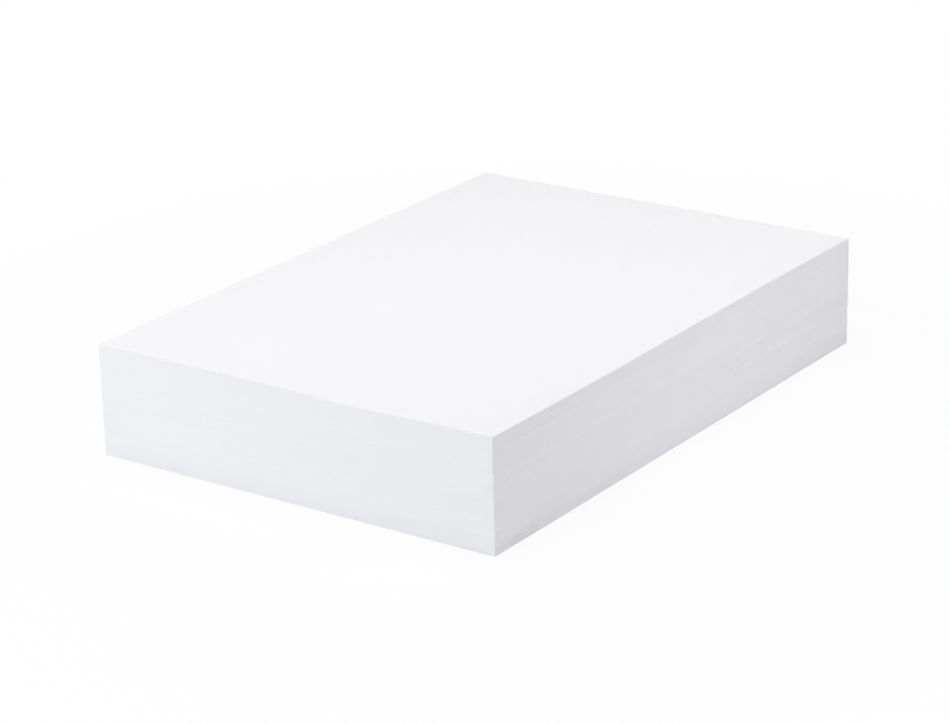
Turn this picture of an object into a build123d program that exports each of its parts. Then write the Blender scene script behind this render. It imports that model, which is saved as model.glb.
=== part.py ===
from build123d import *

import math
import os

# Ream of plain office paper, unwrapped and squared up.
#
# Millimetres. X runs along the short side of a sheet, Y along the long side, Z up.
# The origin is the centre of the footprint, on the surface that the ream lies on.
#
# The sheets lie loose on each other, and together they are one solid: flat below, cut square on
# its four sides, and slightly wavy on top, because paper takes up moisture at its edges.

# One sheet, and how many there are
sheet_width = 210.0
sheet_length = 297.0
sheet_caliper = 0.105
sheet_count = 500

# Waves of the top sheet, measured from the level plane through its four corners
front_dip = 1.1  # depth of the dip in the short edge at the front
front_dip_place = 0.65  # where it is deepest, as a share of the width from the left
front_dip_reach = 0.28  # how far it reaches to each side of there, as a share of the width
left_dip = 0.3  # depth of the dip in the long edge on the left
left_dip_place = 0.57  # where it is deepest, as a share of the length from the front
left_dip_reach = 0.4  # how far it reaches to each side of there, as a share of the length
right_wave = 0.5  # the long edge on the right dips and then rises by this much

# How the top surface is made
waves_overhang = 0.04  # share of the sheet by which the surface runs past each edge
stations_across = 25
stations_along = 25

stack_height = sheet_caliper * sheet_count


def dip_shape(share, place, reach):
    """The shape of a dip: 1 at its place along an edge, and smoothly down to 0 at its reach."""
    away = min(abs(share - place) / reach, 1)
    return math.cos(math.pi / 2 * away) ** 2


def top_level(across, along):
    """Height of the top sheet, at shares of its width and length counted from the front left."""
    front = front_dip * dip_shape(across, front_dip_place, front_dip_reach) * (1 - along) ** 2
    left = left_dip * dip_shape(along, left_dip_place, left_dip_reach) * (1 - across) ** 2
    right = right_wave * math.sin(2 * math.pi * along) * across**2
    return stack_height - front - left - right


def shares(stations):
    """Evenly spaced shares of a side, from just before its start to just past its end."""
    reach = 1 + 2 * waves_overhang
    return [reach * step / (stations - 1) - waves_overhang for step in range(stations)]


def top_surface():
    """The wavy surface of the top sheet, a little larger than the sheet."""
    rows = [
        [
            Vector(
                (across - 0.5) * sheet_width,
                (along - 0.5) * sheet_length,
                top_level(across, along),
            )
            for along in shares(stations_along)
        ]
        for across in shares(stations_across)
    ]
    return Face.make_surface_from_array_of_points(rows, tol=0.001, min_deg=3, max_deg=5)


def sheet_stack():
    """All the sheets, as a square-cut block that ends at the top sheet's surface."""
    headroom = front_dip + left_dip + right_wave
    block = Box(
        sheet_width,
        sheet_length,
        stack_height + headroom,
        align=(Align.CENTER, Align.CENTER, Align.MIN),
    )
    pieces = block.split(top_surface(), keep=Keep.ALL)
    return pieces.sort_by(Axis.Z)[0]


os.makedirs("parts", exist_ok=True)
export_step(sheet_stack(), "parts/sheet_stack.step")
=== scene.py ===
"""A ream of plain paper: every sheet of the stack, its finish, and a small studio to show it in."""

import math
import random

import bmesh
import bpy
from mathutils import Matrix, Quaternion, Vector
from mathutils.bvhtree import BVHTree


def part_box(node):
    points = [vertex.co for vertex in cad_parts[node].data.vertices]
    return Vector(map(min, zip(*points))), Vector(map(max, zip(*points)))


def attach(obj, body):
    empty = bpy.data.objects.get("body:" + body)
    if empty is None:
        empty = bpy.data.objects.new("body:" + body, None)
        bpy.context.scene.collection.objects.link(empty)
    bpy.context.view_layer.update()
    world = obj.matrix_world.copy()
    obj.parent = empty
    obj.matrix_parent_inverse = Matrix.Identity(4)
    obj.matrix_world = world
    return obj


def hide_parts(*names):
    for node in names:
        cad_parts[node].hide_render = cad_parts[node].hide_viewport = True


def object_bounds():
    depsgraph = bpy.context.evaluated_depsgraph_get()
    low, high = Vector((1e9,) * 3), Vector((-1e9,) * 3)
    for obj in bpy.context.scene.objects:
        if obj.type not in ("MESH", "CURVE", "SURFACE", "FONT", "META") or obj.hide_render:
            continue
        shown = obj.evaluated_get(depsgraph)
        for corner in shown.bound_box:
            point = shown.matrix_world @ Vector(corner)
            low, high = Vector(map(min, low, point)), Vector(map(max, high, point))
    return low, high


bl_info = {
    "name": "Ream of Paper",
    "version": (1, 0, 0),
    "blender": (4, 5, 0),
    "location": "3D View > Sidebar > Ream",
    "description": "Builds the loose sheets of a ream around its packed CAD block, and a studio for it",
    "category": "Object",
}

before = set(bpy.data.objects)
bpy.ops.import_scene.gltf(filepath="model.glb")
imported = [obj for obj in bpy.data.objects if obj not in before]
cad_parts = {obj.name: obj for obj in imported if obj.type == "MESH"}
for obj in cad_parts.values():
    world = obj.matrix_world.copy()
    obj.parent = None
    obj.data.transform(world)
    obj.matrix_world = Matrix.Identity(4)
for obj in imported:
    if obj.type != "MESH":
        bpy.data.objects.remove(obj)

CAD_NODE = "sheet_stack"
CAD_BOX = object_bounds()
BAKE_MAP = "OFBake"
SHEET_NUMBER = "sheet_number"
FACE_SLOT, CUT_SLOT = 0, 1

MM = 0.001

# Uncoated paper's patterns: waves for each metre, levels of detail, and roughness of the detail
PULP_CLOUDS = (260.0, 3.0, 0.6)
FIBRE_FELT = (1400.0, 2.0, 0.7)
COCKLE = (38.0, 1.0, 0.4)
CLOUD_SHARE = 0.65  # of the clouds in the density, the rest being the felt
FELT_RELIEF = 0.2  # height of the felt, as a share of the cockle's
FACE_RELIEF = 0.03 * MM
CUT_RELIEF = 0.015 * MM
CUT_STRETCH = (1.0, 1.0, 0.25)  # the felt of a cut side is drawn out upwards
PAPER_GLOSS = 0.25

# Patterns of the cut sides: lifts of sheets and streaks along them
LIFT_SCALE = 0.09  # waves for each sheet
LIFT_DETAIL = 3.0
STREAK_SHEETS = 0.45  # waves for each sheet
STREAK_LENGTH = 30.0  # waves for each metre along a side
STREAK_DETAIL = 2.0

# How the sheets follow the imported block
LEVEL_WINDOW = 12.0 * MM  # reach, each way, of the mean that gives the height of the top
LEVEL_RIM = 0.5 * MM  # how far inside the block's edges that mean is taken
SPOT_DIGITS = 6  # decimals of a metre by which a place on the sheet is told from others
SINGLE_TURN = 0.5  # a single sheet's own turn, as a share of the stack's

# The bake map: its margin, and the width of the strip that each side gets
MAP_MARGIN = 0.01
MAP_STRIPS = {"right": 0.14, "left": 0.14, "front": 0.10, "back": 0.10}

# The studio's floor and camera, lengths in metres
FLOOR_REACH = 6.0
FLOOR_ROUGHNESS = 0.9
SENSOR_MM = 36.0
CLIP_NEAR = 0.01
CLIP_FAR = 50.0

# Lamps: name, place and aim in metres, side in metres, spread in degrees, power in watts, tint.
# The lamp on the right has a grid, so that it lights little but the side of the ream.
LAMPS = (
    ("lamp_above", (0.0, 0.0, 1.6), (0.0, 0.0, 0.026), 1.4, 180.0, 12.3, (1.0, 0.98, 0.975)),
    ("lamp_left", (-1.3, -1.5, 0.8), (0.0, 0.0, 0.026), 1.0, 180.0, 20.2, (0.92, 0.985, 1.0)),
    ("lamp_right", (1.6, 1.3, 0.7), (0.105, 0.03, 0.01), 0.4, 15.0, 0.167, (0.95, 0.95, 1.0)),
)


# ---------------------------------------------------------------- settings


class ReamSheetSettings(bpy.types.PropertyGroup):
    """Sizes of the sheets and of the small irregularities of the stack."""

    sheet_count: bpy.props.IntProperty(
        name="Sheets",
        description="Number of sheets in the ream",
        default=500,
        min=2,
        max=500,
    )
    steps_across: bpy.props.IntProperty(
        name="Steps Across",
        description="Mesh steps along the short side of a sheet",
        default=20,
        min=1,
        max=40,
    )
    steps_along: bpy.props.IntProperty(
        name="Steps Along",
        description="Mesh steps along the long side of a sheet",
        default=27,
        min=1,
        max=60,
    )
    edge_share: bpy.props.FloatProperty(
        name="Edge Share",
        description="Share of a sheet's place in the stack that its cut edge fills, the rest being the gap",
        default=0.9,
        min=0.5,
        max=1.0,
        subtype="FACTOR",
    )
    slip: bpy.props.FloatProperty(
        name="Slip",
        description="How far one sheet lies off the sheets next to it",
        default=0.02 * MM,
        min=0.0,
        precision=6,
        unit="LENGTH",
    )
    drift: bpy.props.FloatProperty(
        name="Drift",
        description="How far the stack wanders off square over many sheets",
        default=0.07 * MM,
        min=0.0,
        precision=6,
        unit="LENGTH",
    )
    drift_sheets: bpy.props.FloatProperty(
        name="Drift Length",
        description="Number of sheets over which the stack wanders",
        default=35.0,
        min=1.0,
    )
    turn: bpy.props.FloatProperty(
        name="Turn",
        description="How far sheets are turned off square",
        default=math.radians(0.012),
        min=0.0,
        precision=5,
        subtype="ANGLE",
    )
    seed: bpy.props.IntProperty(
        name="Seed",
        description="Picks another stack with the same irregularities",
        default=7,
        min=0,
    )


class ReamPaperSettings(bpy.types.PropertyGroup):
    """Colours and finish of the paper."""

    paper_colour: bpy.props.FloatVectorProperty(
        name="Paper",
        description="Colour of a sheet's face",
        default=(0.905, 0.899, 0.922),
        size=3,
        min=0.0,
        max=1.0,
        subtype="COLOR",
    )
    thin_colour: bpy.props.FloatVectorProperty(
        name="Thin Spots",
        description="Colour of a sheet's face where its fibres lie thinner",
        default=(0.888, 0.882, 0.908),
        size=3,
        min=0.0,
        max=1.0,
        subtype="COLOR",
    )
    # The cut edges' colours lie below the face's. Their spread from sheet to sheet is the paper's own tone,
    # and their greyer mean is painted shade for the light trapped between the sheets.
    edge_colour: bpy.props.FloatVectorProperty(
        name="Cut Edges",
        description="Colour of the brightest cut edges",
        default=(0.9, 0.893, 0.916),
        size=3,
        min=0.0,
        max=1.0,
        subtype="COLOR",
    )
    edge_shade: bpy.props.FloatVectorProperty(
        name="Cut Edge Shade",
        description="Colour of the greyest cut edges",
        default=(0.872, 0.865, 0.89),
        size=3,
        min=0.0,
        max=1.0,
        subtype="COLOR",
    )
    dense_roughness: bpy.props.FloatProperty(
        name="Dense Roughness",
        description="Roughness of the uncoated paper where its fibres lie densest",
        default=0.82,
        min=0.0,
        max=1.0,
        subtype="FACTOR",
    )
    thin_roughness: bpy.props.FloatProperty(
        name="Thin Roughness",
        description="Roughness of the uncoated paper where its fibres lie thinner",
        default=0.94,
        min=0.0,
        max=1.0,
        subtype="FACTOR",
    )


class ReamStudioSettings(bpy.types.PropertyGroup):
    """Light, floor and camera of the studio."""

    daylight: bpy.props.FloatProperty(
        name="Daylight",
        description="Strength of the even light from all round",
        default=0.4,
        min=0.0,
    )
    floor_colour: bpy.props.FloatVectorProperty(
        name="Floor",
        description="Colour of the floor",
        default=(0.9, 0.9, 0.9),
        size=3,
        min=0.0,
        max=1.0,
        subtype="COLOR",
    )
    floor_glow: bpy.props.FloatProperty(
        name="Floor Whiteness",
        description="How far the floor beside the ream is turned into the white background, to the camera",
        default=0.88,
        min=0.0,
        max=1.0,
        subtype="FACTOR",
    )
    floor_near: bpy.props.FloatProperty(
        name="Floor Near",
        description="Distance from the ream's middle at which the floor starts to fade into the background",
        default=0.2,
        min=0.0,
        unit="LENGTH",
    )
    floor_far: bpy.props.FloatProperty(
        name="Floor Far",
        description="Distance from the ream's middle at which the floor has become the background",
        default=0.45,
        min=0.0,
        unit="LENGTH",
    )
    camera_azimuth: bpy.props.FloatProperty(
        name="Azimuth",
        description="Direction that the camera looks from, 0 being the front and 90 the right",
        default=math.radians(35.5),
        subtype="ANGLE",
    )
    camera_elevation: bpy.props.FloatProperty(
        name="Elevation",
        description="How steeply the camera looks down",
        default=math.radians(20.446),
        subtype="ANGLE",
    )
    camera_roll: bpy.props.FloatProperty(
        name="Roll",
        description="How far the camera is turned about its own axis",
        default=math.radians(-1.446),
        subtype="ANGLE",
    )
    camera_distance: bpy.props.FloatProperty(
        name="Distance",
        description="Distance from the camera to what it aims at",
        default=1.4384,
        min=0.01,
        unit="LENGTH",
    )
    camera_aim: bpy.props.FloatVectorProperty(
        name="Aim",
        description="Point that the camera aims at",
        default=(-3.9 * MM, -6.4 * MM, 18.35 * MM),
        size=3,
        precision=5,
        subtype="TRANSLATION",
    )
    camera_lens: bpy.props.FloatProperty(
        name="Lens",
        description="Focal length on a sensor 36 mm wide, in millimetres",
        default=118.7,
        min=1.0,
        unit="CAMERA",
    )


# ---------------------------------------------------------------- node helpers


def node_group(name, inputs, outputs):
    """An empty shader node group, its input node and its output node."""
    group = bpy.data.node_groups.new(name, "ShaderNodeTree")
    for label, kind in inputs:
        group.interface.new_socket(name=label, in_out="INPUT", socket_type=kind)
    for label, kind in outputs:
        group.interface.new_socket(name=label, in_out="OUTPUT", socket_type=kind)
    return group, group.nodes.new("NodeGroupInput"), group.nodes.new("NodeGroupOutput")


def math_node(tree, operation, first, second=None, clamp=False):
    """A Math node's output. Each of its two inputs is a number or another node's output."""
    node = tree.nodes.new("ShaderNodeMath")
    node.operation = operation
    node.use_clamp = clamp
    for socket, value in zip(node.inputs, (first, second)):
        if isinstance(value, bpy.types.NodeSocket):
            tree.links.new(value, socket)
        elif value is not None:
            socket.default_value = value
    return node.outputs["Value"]


def noise_node(tree, vector, scale, detail, roughness=0.5):
    """A noise pattern's output, from 0 to 1."""
    node = tree.nodes.new("ShaderNodeTexNoise")
    node.inputs["Scale"].default_value = scale
    node.inputs["Detail"].default_value = detail
    node.inputs["Roughness"].default_value = roughness
    tree.links.new(vector, node.inputs["Vector"])
    return node.outputs["Fac"]


def ranged(tree, share, start, end):
    """The value between two, at a share from 0 to 1 that another node gives."""
    node = tree.nodes.new("ShaderNodeMapRange")
    node.inputs["To Min"].default_value = start
    node.inputs["To Max"].default_value = end
    tree.links.new(share, node.inputs["Value"])
    return node.outputs["Result"]


def stretched(tree, vector, scale):
    """A vector scaled by its own factor along each axis."""
    node = tree.nodes.new("ShaderNodeMapping")
    node.inputs["Scale"].default_value = scale
    tree.links.new(vector, node.inputs["Vector"])
    return node.outputs["Vector"]


def mixed_colour(tree, share, first, second):
    """The colour between two, at a share from 0 to 1 that another node gives."""
    node = tree.nodes.new("ShaderNodeMix")
    node.data_type = "RGBA"
    colours = [s for s in node.inputs if s.type == "RGBA"]
    colours[0].default_value = (*first, 1.0)
    colours[1].default_value = (*second, 1.0)
    tree.links.new(share, node.inputs["Factor"])
    return next(s for s in node.outputs if s.type == "RGBA")


# ---------------------------------------------------------------- paper finish


def fibre_group():
    """Uncoated paper's formation: cloudy patches of denser pulp, and the felt of single fibres."""
    group, given, result = node_group(
        "Paper Fibres",
        [("Vector", "NodeSocketVector")],
        [("Density", "NodeSocketFloat"), ("Height", "NodeSocketFloat")],
    )
    place = given.outputs["Vector"]
    clouds = noise_node(group, place, *PULP_CLOUDS)
    felt = noise_node(group, place, *FIBRE_FELT)
    cockle = noise_node(group, place, *COCKLE)
    density = math_node(group, "MULTIPLY", clouds, CLOUD_SHARE)
    fine = math_node(group, "MULTIPLY", felt, 1.0 - CLOUD_SHARE)
    height = math_node(group, "MULTIPLY", felt, FELT_RELIEF)
    group.links.new(math_node(group, "ADD", density, fine), result.inputs["Density"])
    group.links.new(math_node(group, "ADD", height, cockle), result.inputs["Height"])
    return group


def cut_edge_group():
    """A cut side: each sheet's edge has a tone of its own, and lifts of sheets drift in tone."""
    group, given, result = node_group(
        "Cut Edges",
        [("Vector", "NodeSocketVector"), ("Sheet", "NodeSocketFloat")],
        [("Shade", "NodeSocketFloat")],
    )
    number = math_node(group, "ROUND", given.outputs["Sheet"])
    single = group.nodes.new("ShaderNodeTexWhiteNoise")
    single.noise_dimensions = "1D"
    group.links.new(number, single.inputs["W"])

    lifts = group.nodes.new("ShaderNodeTexNoise")
    lifts.noise_dimensions = "1D"
    lifts.inputs["Scale"].default_value = LIFT_SCALE
    lifts.inputs["Detail"].default_value = LIFT_DETAIL
    group.links.new(number, lifts.inputs["W"])

    along = group.nodes.new("ShaderNodeSeparateXYZ")
    drawn_out = group.nodes.new("ShaderNodeCombineXYZ")
    group.links.new(given.outputs["Vector"], along.inputs["Vector"])
    for axis in ("X", "Y"):
        scaled = math_node(group, "MULTIPLY", along.outputs[axis], STREAK_LENGTH)
        group.links.new(scaled, drawn_out.inputs[axis])
    sheets = math_node(group, "MULTIPLY", number, STREAK_SHEETS)
    group.links.new(sheets, drawn_out.inputs["Z"])
    streaks = noise_node(group, drawn_out.outputs["Vector"], 1.0, STREAK_DETAIL)

    tones = (single.outputs["Value"], lifts.outputs["Fac"], streaks)
    total = math_node(group, "ADD", tones[0], tones[1])
    total = math_node(group, "ADD", total, tones[2])
    mean = math_node(group, "DIVIDE", total, float(len(tones)))
    group.links.new(mean, result.inputs["Shade"])
    return group


def placed_group(tree, group, **sources):
    """A node group placed in a material, fed by the named outputs."""
    node = tree.nodes.new("ShaderNodeGroup")
    node.node_tree = group
    for label, source in sources.items():
        tree.links.new(source, node.inputs[label])
    return node


def paper_material(name):
    """A matt paper material with no pattern yet: its tree, its shader and its Object coordinates."""
    material = bpy.data.materials.new(name)
    material.use_nodes = True
    tree = material.node_tree
    shader = tree.nodes["Principled BSDF"]
    shader.inputs["Specular IOR Level"].default_value = PAPER_GLOSS
    coordinates = tree.nodes.new("ShaderNodeTexCoord")
    return material, tree, shader, coordinates.outputs["Object"]


def finish(tree, shader, colour, roughness, height, relief):
    """Feeds a colour, a roughness and a height into a shader."""
    bump = tree.nodes.new("ShaderNodeBump")
    bump.inputs["Distance"].default_value = relief
    tree.links.new(height, bump.inputs["Height"])
    tree.links.new(bump.outputs["Normal"], shader.inputs["Normal"])
    tree.links.new(colour, shader.inputs["Base Color"])
    tree.links.new(roughness, shader.inputs["Roughness"])


def face_material(settings, fibres):
    """The face of a sheet."""
    material, tree, shader, place = paper_material("paper_face")
    felt = placed_group(tree, fibres, Vector=place)
    density = felt.outputs["Density"]
    colour = mixed_colour(tree, density, settings.thin_colour, settings.paper_colour)
    roughness = ranged(tree, density, settings.thin_roughness, settings.dense_roughness)
    finish(tree, shader, colour, roughness, felt.outputs["Height"], FACE_RELIEF)
    return material


def cut_edge_material(settings, fibres, edges):
    """The cut edges of the sheets, seen as one side of the stack."""
    material, tree, shader, place = paper_material("paper_cut_edges")
    number = tree.nodes.new("ShaderNodeAttribute")
    number.attribute_name = SHEET_NUMBER
    cut = placed_group(tree, edges, Vector=place, Sheet=number.outputs["Fac"])
    # Partly painted shade: the cut edges are greyer than the face, standing in for light trapped between
    # the sheets. The tone from sheet to sheet and along the lifts is the paper's own.
    colour = mixed_colour(tree, cut.outputs["Shade"], settings.edge_shade, settings.edge_colour)
    felt = placed_group(tree, fibres, Vector=stretched(tree, place, CUT_STRETCH))
    density = felt.outputs["Density"]
    roughness = ranged(tree, density, settings.thin_roughness, settings.dense_roughness)
    finish(tree, shader, colour, roughness, felt.outputs["Height"], CUT_RELIEF)
    return material


# ---------------------------------------------------------------- sheets


def top_level_of(node):
    """A function that gives the height of the CAD block's top at x and y.

    It is the mean over a small window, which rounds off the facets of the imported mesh."""
    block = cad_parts[node]
    tree = BVHTree.FromObject(block, bpy.context.evaluated_depsgraph_get())
    low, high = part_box(node)
    steps = [LEVEL_WINDOW * share for share in (-1.0, -0.5, 0.0, 0.5, 1.0)]

    def level(x, y):
        found = []
        for step_x in steps:
            for step_y in steps:
                at_x = min(max(x + step_x, low.x + LEVEL_RIM), high.x - LEVEL_RIM)
                at_y = min(max(y + step_y, low.y + LEVEL_RIM), high.y - LEVEL_RIM)
                hit = tree.ray_cast(Vector((at_x, at_y, 2 * high.z)), Vector((0, 0, -1)))
                found.append(hit[0].z)
        return sum(found) / len(found)

    return level


def sheet_places(sizes):
    """For each sheet, how far it is shifted along x and y and turned, from the bottom up."""
    draw = random.Random(sizes.seed)
    keep = math.exp(-1 / sizes.drift_sheets)
    fresh = math.sqrt(1 - keep * keep)
    wander = [0.0, 0.0, 0.0]
    places = []
    for _ in range(sizes.sheet_count):
        wander = [keep * value + fresh * draw.gauss(0, 1) for value in wander]
        shift_x = sizes.drift * wander[0] + sizes.slip * draw.gauss(0, 1)
        shift_y = sizes.drift * wander[1] + sizes.slip * draw.gauss(0, 1)
        turn = sizes.turn * (wander[2] + SINGLE_TURN * draw.gauss(0, 1))
        places.append(Matrix.Translation((shift_x, shift_y, 0)) @ Matrix.Rotation(turn, 4, "Z"))
    return places


def runs_along(edge, axis):
    """Whether an edge runs along x, y or z, which are axis 0, 1 and 2."""
    span = edge.verts[1].co - edge.verts[0].co
    return abs(span[axis]) > span.length / 2


def stack_block(sizes, low, high):
    """A closed block on the stack's footprint, a metre high, with two rings for each sheet."""
    bm = bmesh.new()
    bmesh.ops.create_cube(bm, size=1.0)
    steps = (sizes.steps_across, sizes.steps_along, 2 * sizes.sheet_count - 1)
    for axis, count in enumerate(steps):
        edges = [edge for edge in bm.edges if runs_along(edge, axis)]
        bmesh.ops.subdivide_edges(bm, edges=edges, cuts=count - 1, use_grid_fill=True)
    bmesh.ops.scale(bm, verts=bm.verts, vec=(high.x - low.x, high.y - low.y, 1.0))
    middle = ((high.x + low.x) / 2, (high.y + low.y) / 2, low.z + 0.5)
    bmesh.ops.translate(bm, verts=bm.verts, vec=middle)
    bm.normal_update()
    return bm


def sheets_mesh(sizes):
    """The mesh of all the sheets: their cut edges, the gaps between them, the top and the bottom."""
    low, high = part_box(CAD_NODE)
    bm = stack_block(sizes, low, high)
    rings = 2 * sizes.sheet_count - 1
    number = bm.verts.layers.float.new(SHEET_NUMBER)
    lay_out_bake_map(bm, low, high)

    for face in bm.faces:
        is_cut = abs(face.normal.z) < 0.5
        face.material_index = CUT_SLOT if is_cut else FACE_SLOT
        face.smooth = not is_cut
    for edge in bm.edges:
        edge.smooth = edge.link_faces[0].smooth and edge.link_faces[1].smooth

    level = top_level_of(CAD_NODE)
    places = sheet_places(sizes)
    heights = {}
    gap = (1 - sizes.edge_share) / 2
    for vert in bm.verts:
        ring = round((vert.co.z - low.z) * rings)
        sheet, is_upper = divmod(ring, 2)
        vert[number] = sheet
        spot = (round(vert.co.x, SPOT_DIGITS), round(vert.co.y, SPOT_DIGITS))
        if spot not in heights:
            heights[spot] = level(*spot)
        share = (sheet + (1 - gap if is_upper else gap)) / sizes.sheet_count
        if ring == 0:
            share = 0.0
        if ring == rings:
            share = 1.0
        lying = places[sheet] @ Vector((vert.co.x, vert.co.y, 0))
        vert.co = (lying.x, lying.y, low.z + share * (heights[spot] - low.z))

    mesh = bpy.data.meshes.new("paper_sheets")
    bm.to_mesh(mesh)
    bm.free()
    return mesh


def side_of(face):
    """Which side of the stack a face is on, as a name."""
    if abs(face.normal.x) > abs(face.normal.y):
        return "right" if face.normal.x > 0 else "left"
    return "back" if face.normal.y > 0 else "front"


def lay_out_bake_map(bm, low, high):
    """Lays the sides in tall strips, where each sheet has rows of its own, with the faces beside."""
    uv = bm.loops.layers.uv.new(BAKE_MAP)
    starts = {}
    start = MAP_MARGIN
    for side, width in MAP_STRIPS.items():
        starts[side] = start
        start += width + MAP_MARGIN
    face_width = 1 - start - MAP_MARGIN
    top_height = face_width * (high.y - low.y) / (high.x - low.x)
    bottom_start = 2 * MAP_MARGIN + top_height
    bottom_height = 1 - MAP_MARGIN - bottom_start

    for face in bm.faces:
        for loop in face.loops:
            across = (loop.vert.co.x - low.x) / (high.x - low.x)
            along = (loop.vert.co.y - low.y) / (high.y - low.y)
            up = loop.vert.co.z - low.z
            if face.normal.z > 0.5:
                place = (start + across * face_width, MAP_MARGIN + along * top_height)
            elif face.normal.z < -0.5:
                place = (start + across * face_width, bottom_start + along * bottom_height)
            else:
                side = side_of(face)
                share = across if side in ("front", "back") else along
                if side in ("left", "back"):
                    share = 1 - share
                strip = starts[side] + share * MAP_STRIPS[side]
                place = (strip, MAP_MARGIN + up * (1 - 2 * MAP_MARGIN))
            loop[uv].uv = place


class ReamBuildSheets(bpy.types.Operator):
    """Build the sheets of the ream in place of the plain CAD block"""

    bl_idname = "ream.build_sheets"
    bl_label = "Build Sheets"

    def execute(self, context):
        sizes = context.scene.ream_sheets
        paper = context.scene.ream_paper
        sheets = bpy.data.objects.new("paper_sheets", sheets_mesh(sizes))
        context.scene.collection.objects.link(sheets)
        fibres = fibre_group()
        sheets.data.materials.append(face_material(paper, fibres))
        sheets.data.materials.append(cut_edge_material(paper, fibres, cut_edge_group()))
        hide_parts(CAD_NODE)
        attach(sheets, "root")
        return {"FINISHED"}


# ---------------------------------------------------------------- studio


def softbox(name, place, aim, size, spread, power, tint):
    """A square, soft lamp that points at aim and lights things up to half its spread off that line."""
    lamp = bpy.data.lights.new(name, "AREA")
    lamp.shape = "SQUARE"
    lamp.size = size
    lamp.spread = math.radians(spread)
    lamp.energy = power
    lamp.color = tint
    holder = bpy.data.objects.new(name, lamp)
    holder.location = place
    holder.rotation_mode = "QUATERNION"
    holder.rotation_quaternion = (Vector(aim) - Vector(place)).to_track_quat("-Z", "Y")
    bpy.context.scene.collection.objects.link(holder)


def seen_by_camera(tree):
    """1 for what the camera sees, straight, in a reflection or through glass, and 0 for all else."""
    path = tree.nodes.new("ShaderNodeLightPath")
    seen = math_node(tree, "MAXIMUM", path.outputs["Is Camera Ray"], path.outputs["Is Glossy Ray"])
    return math_node(tree, "MAXIMUM", seen, path.outputs["Is Transmission Ray"])


def build_world(settings):
    """Even light from all round, which is plain white to the camera and in reflections."""
    world = bpy.data.worlds.new("studio")
    world.use_nodes = True
    bpy.context.scene.world = world
    tree = world.node_tree
    backdrop = tree.nodes["Background"]
    extra = math_node(tree, "MULTIPLY", seen_by_camera(tree), 1.0 - settings.daylight)
    strength = math_node(tree, "ADD", extra, settings.daylight)
    tree.links.new(strength, backdrop.inputs["Strength"])
    backdrop.inputs["Color"].default_value = (1.0, 1.0, 1.0, 1.0)


def floor_material(settings):
    """A white floor that fades into the background where the camera sees it, and keeps its shadows."""
    material = bpy.data.materials.new("studio_floor")
    material.use_nodes = True
    tree = material.node_tree
    shader = tree.nodes["Principled BSDF"]
    shader.inputs["Base Color"].default_value = (*settings.floor_colour, 1.0)
    shader.inputs["Roughness"].default_value = FLOOR_ROUGHNESS
    shader.inputs["Specular IOR Level"].default_value = 0.0
    white = tree.nodes.new("ShaderNodeEmission")
    coordinates = tree.nodes.new("ShaderNodeTexCoord")
    distance = tree.nodes.new("ShaderNodeVectorMath")
    distance.operation = "LENGTH"
    tree.links.new(coordinates.outputs["Object"], distance.inputs[0])
    fade = tree.nodes.new("ShaderNodeMapRange")
    fade.interpolation_type = "SMOOTHSTEP"
    fade.inputs["From Min"].default_value = settings.floor_near
    fade.inputs["From Max"].default_value = settings.floor_far
    fade.inputs["To Min"].default_value = settings.floor_glow
    fade.inputs["To Max"].default_value = 1.0
    tree.links.new(distance.outputs["Value"], fade.inputs["Value"])
    share = math_node(tree, "MULTIPLY", seen_by_camera(tree), fade.outputs["Result"])
    mix = tree.nodes.new("ShaderNodeMixShader")
    tree.links.new(share, mix.inputs["Fac"])
    tree.links.new(shader.outputs["BSDF"], mix.inputs[1])
    tree.links.new(white.outputs["Emission"], mix.inputs[2])
    tree.links.new(mix.outputs["Shader"], tree.nodes["Material Output"].inputs["Surface"])
    return material


def build_floor(settings):
    """The floor, level with the underside of the ream."""
    bm = bmesh.new()
    bmesh.ops.create_grid(bm, x_segments=1, y_segments=1, size=FLOOR_REACH)
    bmesh.ops.translate(bm, verts=bm.verts, vec=(0, 0, CAD_BOX[0].z))
    mesh = bpy.data.meshes.new("studio_floor")
    bm.to_mesh(mesh)
    bm.free()
    mesh.materials.append(floor_material(settings))
    floor = bpy.data.objects.new("studio_floor", mesh)
    bpy.context.scene.collection.objects.link(floor)


def build_lamps():
    """Soft lamps above, in front on the left, and behind on the right."""
    for lamp in LAMPS:
        softbox(*lamp)


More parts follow.
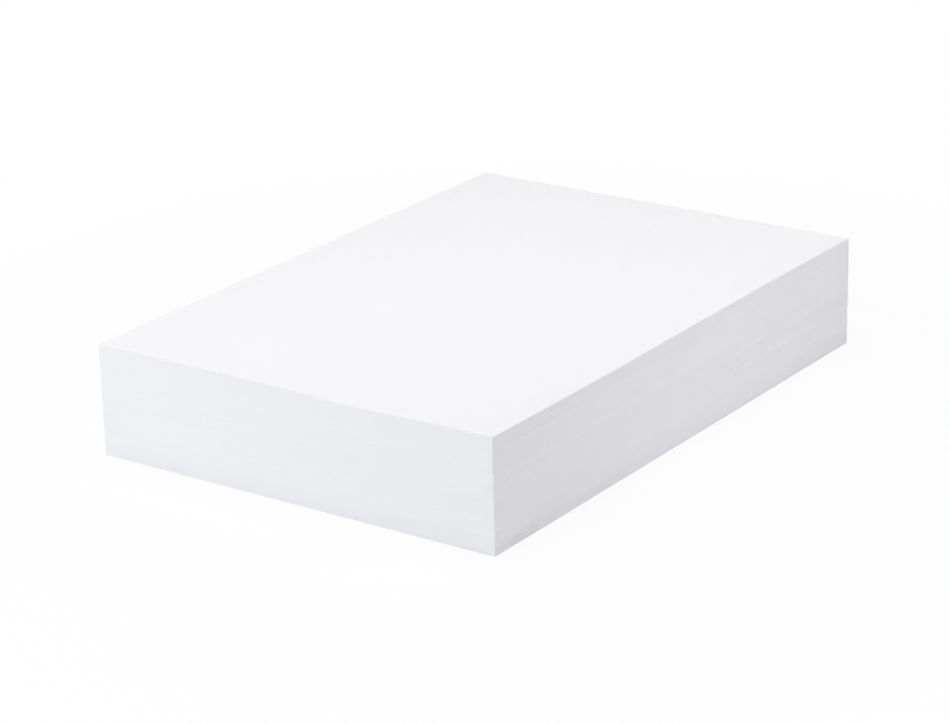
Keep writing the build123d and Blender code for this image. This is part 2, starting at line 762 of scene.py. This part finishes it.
def build_camera(settings):
    """The camera, at the angle that shows a short side, a long side and the top."""
    across = math.sin(settings.camera_azimuth) * math.cos(settings.camera_elevation)
    along = -math.cos(settings.camera_azimuth) * math.cos(settings.camera_elevation)
    back = Vector((across, along, math.sin(settings.camera_elevation)))
    data = bpy.data.cameras.new("studio_camera")
    data.sensor_width = SENSOR_MM
    data.lens = settings.camera_lens
    data.clip_start = CLIP_NEAR
    data.clip_end = CLIP_FAR
    camera = bpy.data.objects.new("studio_camera", data)
    camera.location = Vector(settings.camera_aim) + back * settings.camera_distance
    camera.rotation_mode = "QUATERNION"
    roll = Quaternion((0, 0, 1), settings.camera_roll)
    camera.rotation_quaternion = (-back).to_track_quat("-Z", "Y") @ roll
    bpy.context.scene.collection.objects.link(camera)
    bpy.context.scene.camera = camera


class ReamBuildStage(bpy.types.Operator):
    """Build the floor, the lamps, the background and the camera"""

    bl_idname = "ream.build_stage"
    bl_label = "Build Stage"

    def execute(self, context):
        settings = context.scene.ream_studio
        build_world(settings)
        build_floor(settings)
        build_lamps()
        build_camera(settings)
        context.scene.view_settings.view_transform = "Standard"
        return {"FINISHED"}


# ---------------------------------------------------------------- add-on


class ReamPanel(bpy.types.Panel):
    """Lists the settings of the ream and the steps that build it"""

    bl_idname = "VIEW3D_PT_ream"
    bl_label = "Ream of Paper"
    bl_space_type = "VIEW_3D"
    bl_region_type = "UI"
    bl_category = "Ream"

    def draw(self, context):
        scene = context.scene
        boxes = (
            (scene.ream_sheets, None),
            (scene.ream_paper, ReamBuildSheets),
            (scene.ream_studio, ReamBuildStage),
        )
        for settings, operator in boxes:
            box = self.layout.box()
            for name in settings.bl_rna.properties.keys():
                if name not in {"rna_type", "name"}:
                    box.prop(settings, name)
            if operator:
                box.operator(operator.bl_idname)


CLASSES = (
    ReamSheetSettings,
    ReamPaperSettings,
    ReamStudioSettings,
    ReamBuildSheets,
    ReamBuildStage,
    ReamPanel,
)


def register():
    for cls in CLASSES:
        bpy.utils.register_class(cls)
    bpy.types.Scene.ream_sheets = bpy.props.PointerProperty(type=ReamSheetSettings)
    bpy.types.Scene.ream_paper = bpy.props.PointerProperty(type=ReamPaperSettings)
    bpy.types.Scene.ream_studio = bpy.props.PointerProperty(type=ReamStudioSettings)


def unregister():
    del bpy.types.Scene.ream_studio
    del bpy.types.Scene.ream_paper
    del bpy.types.Scene.ream_sheets
    for cls in reversed(CLASSES):
        bpy.utils.unregister_class(cls)


def main():
    """Builds the ream and its studio."""
    register()
    bpy.ops.ream.build_sheets()
    bpy.ops.ream.build_stage()


if __name__ == "__main__":
    main()
